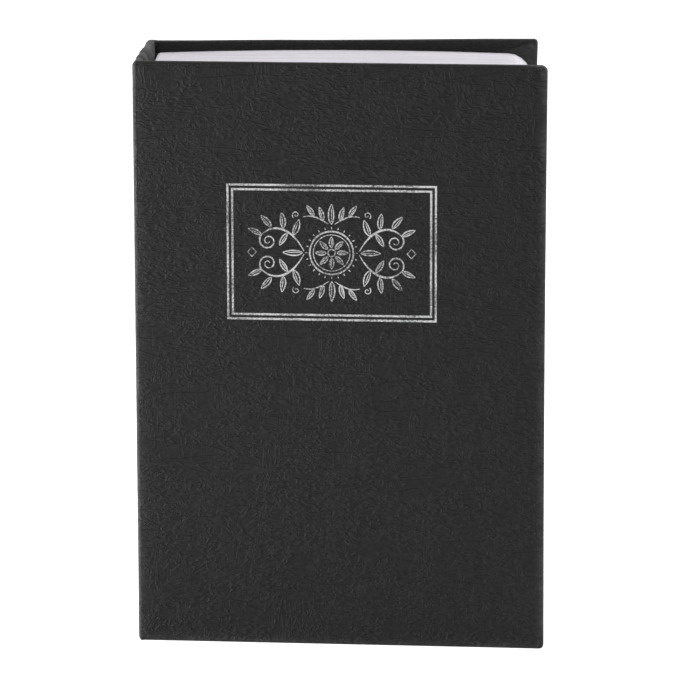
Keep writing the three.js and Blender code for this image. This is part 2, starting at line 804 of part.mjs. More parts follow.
function makeCamScrew(headStart, shankFront) {
  const headEnd = headStart + screwHeadHeight;
  const screw = turned(
    [
      [0, shankFront],
      [screwRadius, shankFront],
      [screwRadius, headStart],
      [screwHeadRadius, headStart],
      [screwHeadRadius, headEnd - screwHeadHeight / 2],
      [screwHeadTopRadius, headEnd],
      [0, headEnd],
    ],
    smallRoundSides,
  );
  const slotEnd = screwHeadRadius + cutOverrun;
  const slotOutline = rectangle(-slotEnd, -screwSlotWidth / 2, slotEnd, screwSlotWidth / 2);
  return screw.subtract(plate(slotOutline, headEnd - screwSlotDepth, screwSlotDepth + cutOverrun));
}

// A group that turns about the point given and holds objects that have the book's own places
function turnsAbout(x, y, z, objects) {
  const pivot = new THREE.Group();
  pivot.position.set(x, y, z);
  for (const object of objects) {
    object.position.sub(pivot.position);
    pivot.add(object);
  }
  return pivot;
}

// The front cover is drawn closed, from its hinge axis, and turned out to where it rests
const frontCover = new THREE.Group();
frontCover.add(...makeFrontCover());
frontCover.position.set(coverAxisX, 0, 0);
frontCover.rotation.z = -coverRestAngle;

const lockPlug = new THREE.Group();
lockPlug.add(...makeLockPlug());
lockPlug.position.set(lockX, 0, lockZ);

const safe = new THREE.Group();
safe.add(...makeSpineAndBackCover());
safe.add(makePageShell(), makeSteelBox(), ...makeFloorRivets());
safe.add(makeBoxHingeLeaf(), makeHingePin(), ...makeBoxLeafRivets());
safe.add(turnsAbout(lidAxisX, lidAxisY, 0, [...makeLid(), ...makeLockBody(), lockPlug]));
safe.add(frontCover);

// The origin is under the middle of the whole object
safe.updateMatrixWorld(true);
const bounds = new THREE.Box3().setFromObject(safe, true);
const middle = bounds.getCenter(new THREE.Vector3());
safe.position.set(-middle.x, -middle.y, -bounds.min.z);

export default safe;
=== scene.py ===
"""Book diversion safe: covered boards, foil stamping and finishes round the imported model."""

import json
import math

import bmesh
import bpy
import numpy as np
from mathutils import Matrix, Vector, noise


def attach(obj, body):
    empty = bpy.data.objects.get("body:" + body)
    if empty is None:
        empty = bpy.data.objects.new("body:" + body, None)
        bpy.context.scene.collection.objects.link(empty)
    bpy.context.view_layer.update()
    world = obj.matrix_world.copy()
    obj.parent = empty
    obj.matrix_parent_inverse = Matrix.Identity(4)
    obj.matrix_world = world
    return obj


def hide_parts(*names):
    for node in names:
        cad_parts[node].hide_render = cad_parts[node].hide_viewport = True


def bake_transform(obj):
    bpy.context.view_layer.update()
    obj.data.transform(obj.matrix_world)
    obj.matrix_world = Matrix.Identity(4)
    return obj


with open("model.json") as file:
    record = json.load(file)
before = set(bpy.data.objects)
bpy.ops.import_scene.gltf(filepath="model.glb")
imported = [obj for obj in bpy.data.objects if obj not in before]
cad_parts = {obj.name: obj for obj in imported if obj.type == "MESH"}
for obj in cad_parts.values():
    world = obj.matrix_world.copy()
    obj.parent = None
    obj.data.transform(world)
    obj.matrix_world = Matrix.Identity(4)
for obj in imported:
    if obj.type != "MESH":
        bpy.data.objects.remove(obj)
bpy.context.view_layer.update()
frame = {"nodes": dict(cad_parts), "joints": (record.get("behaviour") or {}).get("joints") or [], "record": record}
scene = bpy.context.scene

MM = 0.001
TINY = 1e-9
ON_FACE = 0.01  # how near a face, in millimetres, a lattice point counts as lying on it
FACING = 0.7  # cosine from which a face counts as facing a direction

# Angles in degrees from which edges stay sharp: on CAD nodes, own pieces and the coverings
CAD_SHARP, OWN_SHARP, COVER_SHARP = 32.0, 35.0, 40.0

# Sizes of the model's source, in millimetres
COVER_HEIGHT = 224.0
FRONT_WIDTH = 155.0
BACK_WIDTH = 150.0
THICKNESS = 57.0
BOARD = 3.0
LEAN = 1.7
HINGE_SEAM = 0.3
TURN_IN = 15.0
REST_ANGLE = math.radians(3.28548)

SKIN = 0.45  # depth of the rebates that the hinge strip lies in
MID_HEIGHT = COVER_HEIGHT / 2
BACK_FACE = THICKNESS - BOARD
SPINE_FRONT = BOARD + HINGE_SEAM

hinge = next(j for j in frame["joints"] if j["name"] == "cover_hinge")["pos_m"]
HINGE_X, HINGE_Y = hinge[0] / MM, hinge[1] / MM
ORIGIN_X, ORIGIN_Y = HINGE_X + LEAN, HINGE_Y


# ---------------------------------------------------------------- placing

def book_point(x, y, z):
    """A point of the standing case, from the book's own millimetres to the row frame."""
    return np.stack([(x + ORIGIN_X) * MM, (y + ORIGIN_Y) * MM, z * MM], axis=-1)


def cover_point(u, d, z):
    """A point of the front cover: u from its hinge, d inwards from its outer face."""
    c, s = math.cos(REST_ANGLE), math.sin(REST_ANGLE)
    x = HINGE_X + u * c + d * s
    y = HINGE_Y - u * s + d * c
    return np.stack([x * MM, y * MM, z * MM], axis=-1)


def on_plane(a, z, level=0.0):
    """Points at a and z in one plane, for a noise to be read at."""
    return np.stack([a, 0 * a + level, z], -1)


def smooth_field(points, size, seed):
    """Soft noise between -1 and 1 at points in millimetres, with features of the given size."""
    shift = Vector((seed * 17.3, seed * 5.1, seed * 9.7))
    return np.array([noise.noise(Vector(p) / size + shift) for p in points])


def smooth_step(values):
    t = np.clip(values, 0, 1)
    return t * t * (3 - 2 * t)


def end_distance(z):
    """How far z lies from the nearer one of head and tail."""
    return MID_HEIGHT - np.abs(z - MID_HEIGHT)


# ---------------------------------------------------------------- meshes

def new_object(name, points, faces):
    mesh = bpy.data.meshes.new(name)
    mesh.from_pydata([tuple(p) for p in points], [], [tuple(int(i) for i in f) for f in faces])
    mesh.validate()
    obj = bpy.data.objects.new(name, mesh)
    scene.collection.objects.link(obj)
    shade(obj, OWN_SHARP)
    return obj


def shade(obj, angle):
    """Smooth faces, with sharp edges where faces meet at more than an angle in degrees."""
    mesh = obj.data
    mesh.polygons.foreach_set("use_smooth", [True] * len(mesh.polygons))
    mesh.set_sharp_from_angle(angle=math.radians(angle))


def lattice(xs, ys, zs, filled):
    """Closed quads round the filled cells of an uneven lattice: lattice coordinates and faces."""
    nx, ny, nz = len(xs), len(ys), len(zs)
    full = np.zeros((nx + 1, ny + 1, nz + 1), bool)
    full[1:-1, 1:-1, 1:-1] = filled
    unit = np.eye(3, dtype=int)
    quads = []
    for axis in range(3):
        low = np.take(full, range(0, full.shape[axis] - 1), axis)
        high = np.take(full, range(1, full.shape[axis]), axis)
        others = [a for a in range(3) if a != axis]
        for solid_low in (True, False):
            base = np.argwhere(low & ~high if solid_low else high & ~low) - unit[others].sum(0)
            first, second = unit[others[0]], unit[others[1]]
            ring = [base, base + first, base + first + second, base + second]
            if (axis == 1) == solid_low:
                ring.reverse()
            numbers = [(r[:, 0] * ny + r[:, 1]) * nz + r[:, 2] for r in ring]
            quads.append(np.stack(numbers, -1))
    used, index = np.unique(np.concatenate(quads), return_inverse=True)
    i, rest = np.divmod(used, ny * nz)
    j, k = np.divmod(rest, nz)
    points = np.stack([np.asarray(xs)[i], np.asarray(ys)[j], np.asarray(zs)[k]], axis=-1)
    return points, index.reshape(-1, 4)


def spread(*stops):
    """Coordinates from a start on, by pairs of the next stop and the number of steps to it."""
    line = [stops[0]]
    for stop, count in zip(stops[1::2], stops[2::2]):
        line += list(np.linspace(line[-1], stop, count + 1)[1:])
    return np.array(line)


def middles(values):
    return (values[1:] + values[:-1]) / 2


def disc_corner(a, b, corner_a, corner_b, radius):
    """Moves the points near a square corner in the a-b plane so that its outline is an arc.

    Each of corner_a and corner_b is the corner's place and the outward direction there, 1 or -1.
    """
    (end_a, sign_a), (end_b, sign_b) = corner_a, corner_b
    x = (a - (end_a - sign_a * radius)) * sign_a / radius
    y = (b - (end_b - sign_b * radius)) * sign_b / radius
    inside = (x > 0) & (y > 0)
    xi, yi = np.clip(x, 0, 1), np.clip(y, 0, 1)
    xn = xi * np.sqrt(1 - yi * yi / 2)
    yn = yi * np.sqrt(1 - xi * xi / 2)
    a = np.where(inside, end_a - sign_a * radius * (1 - xn), a)
    b = np.where(inside, end_b - sign_b * radius * (1 - yn), b)
    return a, b


def rounded_edges(obj, width, segments, sharper_than=50.0):
    """Rounds the edges that are sharper than an angle in degrees."""
    bm = bmesh.new()
    bm.from_mesh(obj.data)
    limit = math.radians(sharper_than)
    edges = [e for e in bm.edges if e.is_manifold and e.calc_face_angle(0) > limit]
    bmesh.ops.bevel(
        bm, geom=edges, offset=width * MM, segments=segments, profile=0.5,
        affect="EDGES", clamp_overlap=True,
    )
    bm.to_mesh(obj.data)
    bm.free()


def hollow(points, faces, room):
    """Adds a closed hollow, whose eight corners are room, to a solid's points and faces."""
    start = len(points)
    quads = [(0, 1, 3, 2), (4, 6, 7, 5), (0, 4, 5, 1), (2, 3, 7, 6), (0, 2, 6, 4), (1, 5, 7, 3)]
    extra = [tuple(start + i for i in q) for q in quads]
    return np.concatenate([points, room]), list(map(tuple, faces)) + extra


# ---------------------------------------------------------------- node materials

class Nodes:
    """A small helper that makes shader nodes in one tree."""

    def __init__(self, tree):
        self.tree = tree

    def node(self, kind, inputs=None, **settings):
        made = self.tree.nodes.new("ShaderNode" + kind)
        for key, value in settings.items():
            setattr(made, key, value)
        for key, value in (inputs or {}).items():
            self.feed(made.inputs[key], value)
        return made

    def feed(self, socket, value):
        if isinstance(value, bpy.types.NodeSocket):
            self.tree.links.new(value, socket)
        else:
            socket.default_value = value

    def math(self, operation, a, b=0.0):
        made = self.node("Math", operation=operation)
        self.feed(made.inputs[0], a)
        self.feed(made.inputs[1], b)
        return made.outputs[0]

    def plus(self, a, b):
        return self.math("ADD", a, b)

    def times(self, a, b):
        return self.math("MULTIPLY", a, b)

    def larger(self, a, b):
        return self.math("MAXIMUM", a, b)

    def seen(self):
        """1 on rays from the camera, also by way of gloss or glass, and 0 on all others."""
        path = self.node("LightPath").outputs
        mirrored_too = self.larger(path["Is Glossy Ray"], path["Is Transmission Ray"])
        return self.larger(path["Is Camera Ray"], mirrored_too)


class Finish(Nodes):
    """The nodes of one material, whose patterns are laid out in millimetres."""

    def __init__(self, name):
        self.material = bpy.data.materials.new(name)
        self.material.use_nodes = True
        super().__init__(self.material.node_tree)
        self.shader = self.tree.nodes["Principled BSDF"]
        self.coordinates = self.tree.nodes.new("ShaderNodeTexCoord").outputs["Object"]

    def scaled(self, *per_mm, shift=0.0):
        """Object coordinates in millimetres, each times its own factor, moved in the pattern."""
        scale = [f / MM for f in per_mm]
        inputs = {"Vector": self.coordinates, "Scale": scale, "Location": (shift, shift, shift)}
        return self.node("Mapping", inputs).outputs[0]

    def noise(self, vector, detail=2.0, roughness=0.5, distortion=0.0):
        inputs = {"Vector": vector, "Scale": 1.0, "Detail": detail, "Roughness": roughness,
                  "Distortion": distortion}
        return self.node("TexNoise", inputs).outputs["Fac"]

    def ramp(self, value, low, high, to_low=0.0, to_high=1.0):
        inputs = {"Value": value, "From Min": low, "From Max": high, "To Min": to_low,
                  "To Max": to_high}
        return self.node("MapRange", inputs, interpolation_type="SMOOTHSTEP").outputs["Result"]

    def ridge(self, value):
        """1 on the middle level of a noise, falling to 0 on both sides."""
        off = self.math("ABSOLUTE", self.math("SUBTRACT", value, 0.5))
        return self.math("SUBTRACT", 1.0, self.times(off, 2.0))

    def colours(self, share, dark, light):
        """A blend of two colours, each a triple, a single grey or a socket."""
        made = self.node("Mix", data_type="RGBA")
        self.feed(made.inputs["Factor"], share)
        for key, colour in (("A", dark), ("B", light)):
            if isinstance(colour, float):
                colour = (colour, colour, colour)
            plain = not isinstance(colour, bpy.types.NodeSocket)
            self.feed(made.inputs[key], (*colour, 1.0) if plain else colour)
        return made.outputs["Result"]

    def bump(self, height, distance, strength):
        inputs = {"Height": height, "Distance": distance * MM, "Strength": strength}
        return self.node("Bump", inputs).outputs["Normal"]

    def finish(self, **inputs):
        for key, value in inputs.items():
            self.feed(self.shader.inputs[key.replace("_", " ")], value)
        return self.material


def leatherette_material(name, relief, dark, light):
    """Black embossed covering: patches of wavy folds across and upright, on a soft grain."""
    n = Finish(name)

    def creases(per_mm, sharp, waves, shift):
        lines = n.noise(n.scaled(*per_mm, shift=shift), 1.0, 0.45, waves)
        return n.ramp(n.ridge(lines), sharp, 1.0)

    def patches(per_mm, low, high, shift):
        return n.ramp(n.noise(n.scaled(*per_mm, shift=shift)), low, high, to_low=0.12)

    across = n.times(
        creases((0.25, 0.25, 0.56), sharp=0.76, waves=0.3, shift=3.0),
        patches((0.06, 0.06, 0.10), low=0.40, high=0.54, shift=11.0))
    upright = n.times(
        creases((0.56, 0.56, 0.20), sharp=0.80, waves=0.3, shift=7.0),
        patches((0.12, 0.12, 0.06), low=0.48, high=0.60, shift=23.0))
    crinkle = n.times(
        creases((0.36, 0.36, 0.50), sharp=0.78, waves=0.4, shift=13.0),
        patches((0.09, 0.09, 0.11), low=0.49, high=0.57, shift=37.0))
    long_across = creases((0.035, 0.035, 0.16), sharp=0.955, waves=0.9, shift=17.0)
    long_upright = creases((0.16, 0.16, 0.05), sharp=0.965, waves=0.9, shift=19.0)
    folds = n.larger(across, n.times(upright, 0.6))
    folds = n.larger(folds, n.times(crinkle, 0.9))
    folds = n.larger(folds, n.larger(long_across, n.times(long_upright, 0.4)))
    grain = n.noise(n.scaled(0.5, 0.5, 0.9), detail=1.0)
    height = n.plus(n.times(folds, 0.50 * relief), n.times(grain, 0.36 * relief))
    # The attribute lightens the base towards a pale grey: wear, with painted light on the spine's ends and painted
    # highlights along the edges
    wear_and_painted_light = n.node("Attribute", attribute_name="wear_and_painted_light").outputs["Fac"]
    worn_and_lit = n.times(wear_and_painted_light, n.ramp(grain, 0.25, 0.7, to_low=0.65))
    speck = n.ramp(n.noise(n.scaled(0.7, 0.7, 0.7), detail=0.0), 0.92, 0.96, to_high=0.4)
    base = n.colours(n.plus(n.times(folds, 0.14), n.times(grain, 0.6)), dark, light)
    base = n.colours(worn_and_lit, base, 0.122)
    base = n.colours(speck, base, 0.075)
    rough = n.ramp(grain, 0.3, 0.7, 0.54, 0.66)
    return n.finish(Base_Color=base, Roughness=rough, Normal=n.bump(height, 1.0, 1.0),
                    Specular_IOR_Level=0.08)


def foil_material():
    n = Finish("silver_foil")
    worn = n.noise(n.scaled(1.9, 1.9, 1.9), 3.0, 0.65)
    slow = n.noise(n.scaled(0.07, 0.07, 0.07), 1.0)
    share = n.ramp(n.plus(worn, n.times(slow, 0.4)), 0.55, 0.80)
    base = n.colours(share, 0.09, (0.52, 0.52, 0.525))
    metal = n.ramp(share, 0.0, 1.0, 0.1, 0.75)
    rough = n.ramp(worn, 0.3, 0.7, 0.5, 0.32)
    normal = n.bump(n.noise(n.scaled(1.4, 1.4, 1.4)), 0.09, 0.7)
    return n.finish(Base_Color=base, Metallic=metal, Roughness=rough, Normal=normal)


def paper_material():
    n = Finish("black_paper")
    fibre = n.noise(n.scaled(0.5, 0.5, 2.6), 4.0, 0.6)
    cloud = n.noise(n.scaled(0.03, 0.03, 0.03))
    tone = n.plus(n.times(fibre, 0.5), n.times(cloud, 0.5))
    base = n.colours(tone, (0.010, 0.010, 0.0105), (0.018, 0.018, 0.0185))
    normal = n.bump(n.plus(fibre, n.times(cloud, 6.0)), 0.03, 0.6)
    return n.finish(Base_Color=base, Roughness=0.82, Normal=normal, Specular_IOR_Level=0.35)


def page_material():
    n = Finish("page_plastic")
    lines = n.noise(n.scaled(0.012, 1.7, 0.012), 3.0, 0.6)
    soft = n.noise(n.scaled(0.03, 0.08, 0.03))
    tone = n.plus(n.times(lines, 0.7), n.times(soft, 0.3))
    base = n.colours(n.ramp(tone, 0.3, 0.65), (0.66, 0.64, 0.69), (0.80, 0.78, 0.83))
    normal = n.bump(lines, 0.12, 0.7)
    return n.finish(Base_Color=base, Roughness=0.5, Normal=normal, Specular_IOR_Level=0.4)


def black_steel_material():
    n = Finish("black_steel")
    peel = n.noise(n.scaled(1.3, 1.3, 1.3))
    fine = n.noise(n.scaled(5.0, 5.0, 5.0))
    base = n.colours(fine, (0.009, 0.009, 0.0095), (0.017, 0.017, 0.018))
    normal = n.bump(n.plus(peel, n.times(fine, 0.35)), 0.05, 0.55)
    rough = n.ramp(peel, 0.3, 0.7, 0.36, 0.48)
    return n.finish(Base_Color=base, Roughness=rough, Normal=normal)


def metal_material(name, dark, light, roughness, brush):
    """Bare or plated metal, with roughness from and to, and brush the streaks per millimetre."""
    n = Finish(name)
    streaks = n.noise(n.scaled(*brush), 3.0, 0.6)
    cloud = n.noise(n.scaled(0.35, 0.35, 0.35))
    base = n.colours(n.ramp(cloud, 0.3, 0.7), dark, light)
    rough = n.ramp(streaks, 0.3, 0.7, *roughness)
    normal = n.bump(streaks, 0.01, 0.4)
    return n.finish(Base_Color=base, Metallic=1.0, Roughness=rough, Normal=normal)


def greyboard_material():
    n = Finish("greyboard")
    pulp = n.noise(n.scaled(1.1, 1.1, 1.1), 4.0, 0.65)
    base = n.colours(n.ramp(pulp, 0.3, 0.7), (0.20, 0.18, 0.15), (0.32, 0.29, 0.25))
    return n.finish(Base_Color=base, Roughness=0.95, Normal=n.bump(pulp, 0.08, 0.6))


leatherette = leatherette_material("leatherette", 0.44, 0.0120, 0.0410)
# painted light: the inner faces get a copy of the leatherette in lighter colours, set to how they are lit
inner_painted_light = leatherette_material("leatherette_inner_painted_light", 0.40, 0.015, 0.046)
foil = foil_material()
greyboard = greyboard_material()

FINISHES = {
    "leatherette": leatherette,
    "greyboard": greyboard,
    "endpaper": paper_material(),
    "page_plastic": page_material(),
    "black_steel": black_steel_material(),
    "zinced_steel": metal_material(
        "zinced_steel", (0.42, 0.43, 0.44), (0.58, 0.59, 0.60), (0.28, 0.45), (2.0, 2.0, 2.0)),
    "chrome": metal_material(
        "chrome", (0.62, 0.62, 0.64), (0.72, 0.72, 0.74), (0.10, 0.2), (0.6, 3.0, 0.6)),
    "brass": metal_material(
        "brass", (0.52, 0.38, 0.16), (0.62, 0.46, 0.2), (0.22, 0.36), (0.8, 3.0, 0.8)),
}
for row in frame["record"]["subparts"]:
    node = frame["nodes"][row["node"]]
    node.data.materials.clear()
    node.data.materials.append(FINISHES[row["material_slot"]])
    shade(node, CAD_SHARP)


# ---------------------------------------------------------------- covered boards

# Radii of the corners in a board's outline, and of the arrises of its outer and inner faces
CORNER, TAIL_CORNER, BACK_CORNER = 2.5, 1.7, 1.35
FRONT_ARRIS, BACK_ARRIS, INNER_ARRIS = 0.9, 0.8, 0.5
BACK_SPINE_ARRIS = 1.4

# Depths from an edge at which the lattices have points
EDGE_STEPS = np.array([0, 0.12, 0.26, 0.42, 0.6, 0.8, 1.0, 1.4, 1.9, CORNER])
FRONT_DEPTHS = np.array([0, 0.12, 0.28, SKIN, 0.65, 0.9, 1.5, 2.4, 2.6, 2.75, 2.88, BOARD])
BACK_DEPTHS = np.array([0.12, 0.25, 0.4, 0.6, 1.4, 2.1, 2.4, 2.6, 2.76, 2.89, BOARD])

# The rebates that the hinge strip lies in, on the front cover and on the spine
FLAP = 1.6
FOLD_GAP = 0.03
HINGE_SIDE = SKIN + FOLD_GAP
SPINE_REBATE = SPINE_FRONT + 1.0

# The rooms for the greyboards, and the gap round a board in its room
HOLLOW_INSET = 0.47
BOARD_GAP = 0.03

SWELLS = ((0.10, 42.0), (0.03, 9.0))  # heights of the faces' unevenness, and its sizes
EDGE_FALL, EDGE_FALL_REACH = 0.17, 1.7

# The mitres of the turned-in edges: the step and how much lighter the fore edge's flap is painted, the line of the
# step, and the widths over which it rises at the mitre and at the flap's inner edge
LAP, LAP_LIGHTENING = 0.26, 0.27
MITRE_START, MITRE_SLOPE = 0.35, 0.32
MITRE_RAMP, FLAP_RAMP = 0.45, 0.6

# The fold of the hinge, how much lighter the covering is painted beside it as wear and painted highlight, and how
# the covering is drawn in beside it towards head and tail
FOLD_RADIUS = 1.5
FOLD_WEAR_AND_HIGHLIGHT = 0.42
DRAWN_REACH = 14
DRAWN_HEAD = 0.5

# The spine's head and tail: radii of its rounding outside and inside, how far the covering is
# slack, and how much lower the head lies in general and towards the hinge
SPINE_ROUND, SPINE_INNER_ROUND = 1.1, 5.0
SLACK = 12.0
HEAD_DROP, HEAD_DROP_AT_HINGE, HEAD_DROP_REACH = 0.28, 0.65, 26.0

# How far the back's head edge stands above a straight line, from the spine to the fore edge
HEAD_LINE_AT = (4, 20, 35, 51, 67, 98, 130, 150)
HEAD_LINE = (-0.40, -0.37, -0.18, -0.06, -0.06, 0.18, 0.50, 0.53)


def board_swell(points, seed):
    """How far a covered board's face swells or sinks, in millimetres."""
    return sum(height * smooth_field(points, size, seed + number)
               for number, (height, size) in enumerate(SWELLS))


def give_wear_and_painted_light(obj, values):
    """How much lighter each vertex is painted, from 0 to 1, for the leatherette's finish: wear, with painted light
    and highlights.
    """
    attribute = obj.data.attributes.new("wear_and_painted_light", "FLOAT", "POINT")
    full = np.zeros(len(obj.data.vertices))
    full[:len(values)] = values
    attribute.data.foreach_set("value", full)


# Lightening along an edge, as wear and painted highlight
def edge_wear_and_highlight(distance, reach):
    return np.exp(-((np.maximum(distance, 0) / reach) ** 1.4))


def edge_fall(distance):
    """How far a face falls away near the edge of its board, whose corner is pressed round."""
    return EDGE_FALL * np.exp(-np.maximum(distance, 0) / EDGE_FALL_REACH)


def arc_drop(share):
    """How far an arc of radius 1 has fallen at a share of its radius."""
    return 1 - np.sqrt(1 - share ** 2)


def hinge_drop(from_fold, z, on_spine=0.0):
    """How far the covering is drawn in at head and tail beside the fold of the hinge."""
    upwards = z - MID_HEIGHT
    near_end = np.clip((np.abs(upwards) - MID_HEIGHT + DRAWN_REACH) / DRAWN_REACH, 0, 1) ** 3
    reach = np.clip(1 - from_fold / FOLD_RADIUS, 0, 1)
    drop = FOLD_RADIUS * arc_drop(reach) + DRAWN_HEAD * on_spine * (upwards > 0)
    return drop * near_end * np.sign(upwards)


def board_in_hollow(name, corners, counts):
    """A greyboard between eight corners, with its edges pressed round."""
    corners = np.asarray(corners).reshape(2, 2, 2, 3)
    lines = [np.linspace(0, 1, n) for n in counts]
    points, faces = lattice(*lines, np.ones([n - 1 for n in counts], bool))
    placed = np.zeros((len(points), 3))
    for i, j, k in np.ndindex(2, 2, 2):
        shares = [t if side else 1 - t for t, side in zip(points.T, (i, j, k))]
        placed += np.prod(shares, axis=0)[:, None] * corners[i, j, k]
    obj = new_object(name, placed, faces)
    rounded_edges(obj, width=0.35, segments=2)
    obj.data.materials.append(greyboard)
    shade(obj, OWN_SHARP)
    return obj


def height_steps():
    middle = spread(CORNER, 6, 9, TURN_IN, 10, COVER_HEIGHT - TURN_IN, 120,
                    COVER_HEIGHT - 6, 10, COVER_HEIGHT - CORNER, 9)
    return np.concatenate([EDGE_STEPS, middle[1:-1], COVER_HEIGHT - EDGE_STEPS[::-1]])


def outline_frame(a, z, low, high, radius):
    """How deep points lie inside a board's outline, and the outward direction there."""
    centre, half = (low + high) / 2, (high - low) / 2
    side_a, side_z = np.sign(a - centre), np.sign(z - MID_HEIGHT)
    over_a = np.abs(a - centre) - (half - radius)
    over_z = np.abs(z - MID_HEIGHT) - (MID_HEIGHT - radius)
    out_a, out_z = np.maximum(over_a, 0), np.maximum(over_z, 0)
    reach = np.hypot(out_a, out_z)
    depth = radius - reach - np.minimum(np.maximum(over_a, over_z), 0)
    length = np.maximum(reach, TINY)
    flat = reach < TINY
    normal_a = np.where(flat, (over_a >= over_z) * 1.0, out_a / length) * side_a
    normal_z = np.where(flat, (over_a < over_z) * 1.0, out_z / length) * side_z
    return np.maximum(depth, 0), normal_a, normal_z


def round_arris(a, z, depth, frame_of, radius):
    """Moves points near a board's edge so that the arris of one of its faces is an arc."""
    inset, normal_a, normal_z = frame_of
    p, q = np.clip(1 - inset / radius, 0, 1), np.clip(1 - depth / radius, 0, 1)
    near = (p > 0) & (q > 0)
    new_inset = np.where(near, radius * (1 - p * np.sqrt(1 - q * q / 2)), inset)
    new_depth = np.where(near, radius * (1 - q * np.sqrt(1 - p * p / 2)), depth)
    return a + normal_a * (inset - new_inset), z + normal_z * (inset - new_inset), new_depth


def mitre_lap(to_edge, z):
    """1 where the flap of the fore edge lies on the flaps of head and tail, 0 on those."""
    past_mitre = end_distance(z) - MITRE_START - MITRE_SLOPE * to_edge
    return smooth_step(past_mitre / MITRE_RAMP) * smooth_step((TURN_IN - to_edge) / FLAP_RAMP)


def give_inside(obj, inside):
    """Leatherette all over, and on the faces that inside says yes to a lighter copy of it, as painted light on the
    inner faces.
    """
    obj.data.materials.append(leatherette)
    obj.data.materials.append(inner_painted_light)
    for polygon in obj.data.polygons:
        if inside(polygon.center, polygon.normal):
            polygon.material_index = 1


def front_room(gap):
    """The eight corners of the room inside the front covering, lower beside the hinge."""
    hinge_end, hinge_short = HINGE_SIDE + 0.02 + gap, 0.45
    fore_end, fore_short = FRONT_WIDTH - 1.2 - gap, 0.25
    inset = HOLLOW_INSET + gap
    return np.array([cover_point(a, b, c)
                     for a, short in ((hinge_end, hinge_short), (fore_end, fore_short))
                     for b in (inset, BOARD - inset)
                     for c in (inset + short, COVER_HEIGHT - inset - short)])


def front_cover_piece():
    """The covered front board, with a rebate at its hinge edge for the hinge strip."""
    us = np.concatenate([
        spread(HINGE_SIDE, FLAP, 5, 6, 8, TURN_IN, 6, FRONT_WIDTH - TURN_IN, 100,
               FRONT_WIDTH - 6, 12, FRONT_WIDTH - CORNER, 10)[:-1],
        FRONT_WIDTH - EDGE_STEPS[::-1]])
    ds, zs = FRONT_DEPTHS, height_steps()
    filled = np.ones((len(us) - 1, len(ds) - 1, len(zs) - 1), bool)
    in_rebate = (middles(us)[:, None] < FLAP) & (middles(ds)[None, :] < SKIN)
    filled[in_rebate] = False
    points, faces = lattice(us, ds, zs, filled)
    u, d, z = points.T

    # The faces: uneven, falling away at the edges, with the flaps of the turned-in edges inside
    outer = np.clip(1 - d / BOARD, 0, 1)
    swell = board_swell(on_plane(u, z), 1) * outer
    for gap in (u, FRONT_WIDTH - u, z, COVER_HEIGHT - z):
        swell = swell - outer * edge_fall(gap)
    lap = np.where(d > BOARD - ON_FACE, mitre_lap(FRONT_WIDTH - u, z) * LAP, 0)
    from_middle = (z / COVER_HEIGHT * 2 - 1) ** 2
    rumple = smooth_field(on_plane(u * 0.9, z * 0.9), 1.5, 13)
    corner_reach = 6.0
    near_corner = np.exp(-((np.hypot(FRONT_WIDTH - u, end_distance(z)) / corner_reach) ** 2))

    # The corners and the arrises, and the pleats round the corners
    for end, radius in (((0.0, -1), TAIL_CORNER), ((COVER_HEIGHT, 1), CORNER)):
        u, z = disc_corner(u, z, (FRONT_WIDTH, 1), end, radius)
    radius = np.where(z > MID_HEIGHT, CORNER, TAIL_CORNER)
    open_side = outline_frame(u, z, -FRONT_WIDTH, FRONT_WIDTH, radius)
    inset = open_side[0]
    pleat_height, pleat_pitch, pleat_reach = 0.13, 1.7, 2.4
    pleat = pleat_height * np.cos(2 * math.pi * (inset + 0.35 * rumple) / pleat_pitch)
    pleat = pleat * np.exp(-inset / pleat_reach)
    swell = swell + outer * near_corner * (0.16 * rumple + pleat)
    all_sides = outline_frame(u, z, HINGE_SIDE, FRONT_WIDTH, radius)
    u2, z2, d2 = round_arris(u, z, d, open_side, FRONT_ARRIS)
    u3, z3, from_inside = round_arris(u, z, BOARD - d, all_sides, INNER_ARRIS)
    inner = d > BOARD / 2
    u, z = np.where(inner, u3, u2), np.where(inner, z3, z2)
    d = np.where(inner, BOARD - from_inside, d2)
    bow_depth, bow_start = 0.36, 60
    bow_share = smooth_step((u - bow_start) / (FRONT_WIDTH - bow_start))
    bow = bow_depth * (1 - from_middle) * bow_share

    # The wear and painted highlights along the edges, and the lighter flap on the mitre
    lightening_variation = 0.75 + 0.5 * smooth_field(on_plane(u, z), 9.0, 41)
    near_fore_edge = edge_wear_and_highlight(FRONT_WIDTH - u, 1.6) * 0.8
    near_tail = edge_wear_and_highlight(z, 1.7) * 0.5
    near_hinge = edge_wear_and_highlight(u, 2.3) * FOLD_WEAR_AND_HIGHLIGHT * outer
    rubbed_corner = edge_wear_and_highlight(inset, 1.0) * near_corner * (0.85 + 0.3 * rumple)
    wear_and_painted_light = np.maximum(np.maximum(near_fore_edge, near_tail), np.maximum(near_hinge, rubbed_corner))
    wear_and_painted_light = np.maximum(wear_and_painted_light * lightening_variation, LAP_LIGHTENING * (lap > 0.1))

    placed = cover_point(u - bow, d - swell + lap, z - hinge_drop(u, z))
    placed, faces = hollow(placed, faces, front_room(0))
    obj = new_object("front_cover_leatherette", placed, faces)
    give_wear_and_painted_light(obj, wear_and_painted_light)
    inward = Vector((math.sin(REST_ANGLE), math.cos(REST_ANGLE), 0))
    give_inside(obj, lambda middle, normal: normal.dot(inward) > FACING)
    return obj


front_cover = front_cover_piece()
shade(front_cover, COVER_SHARP)
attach(front_cover, "front_cover")
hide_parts("front_cover_wrap")
front_board = board_in_hollow("front_greyboard", front_room(BOARD_GAP), (60, 4, 90))
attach(front_board, "front_cover")
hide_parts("front_board")


def inner_round(x):
    """0 on the spine's outer face and its rounded head, and up to 1 on its inner face."""
    return np.clip((x - SPINE_ROUND) / (BOARD - SPINE_ROUND), 0, 1)


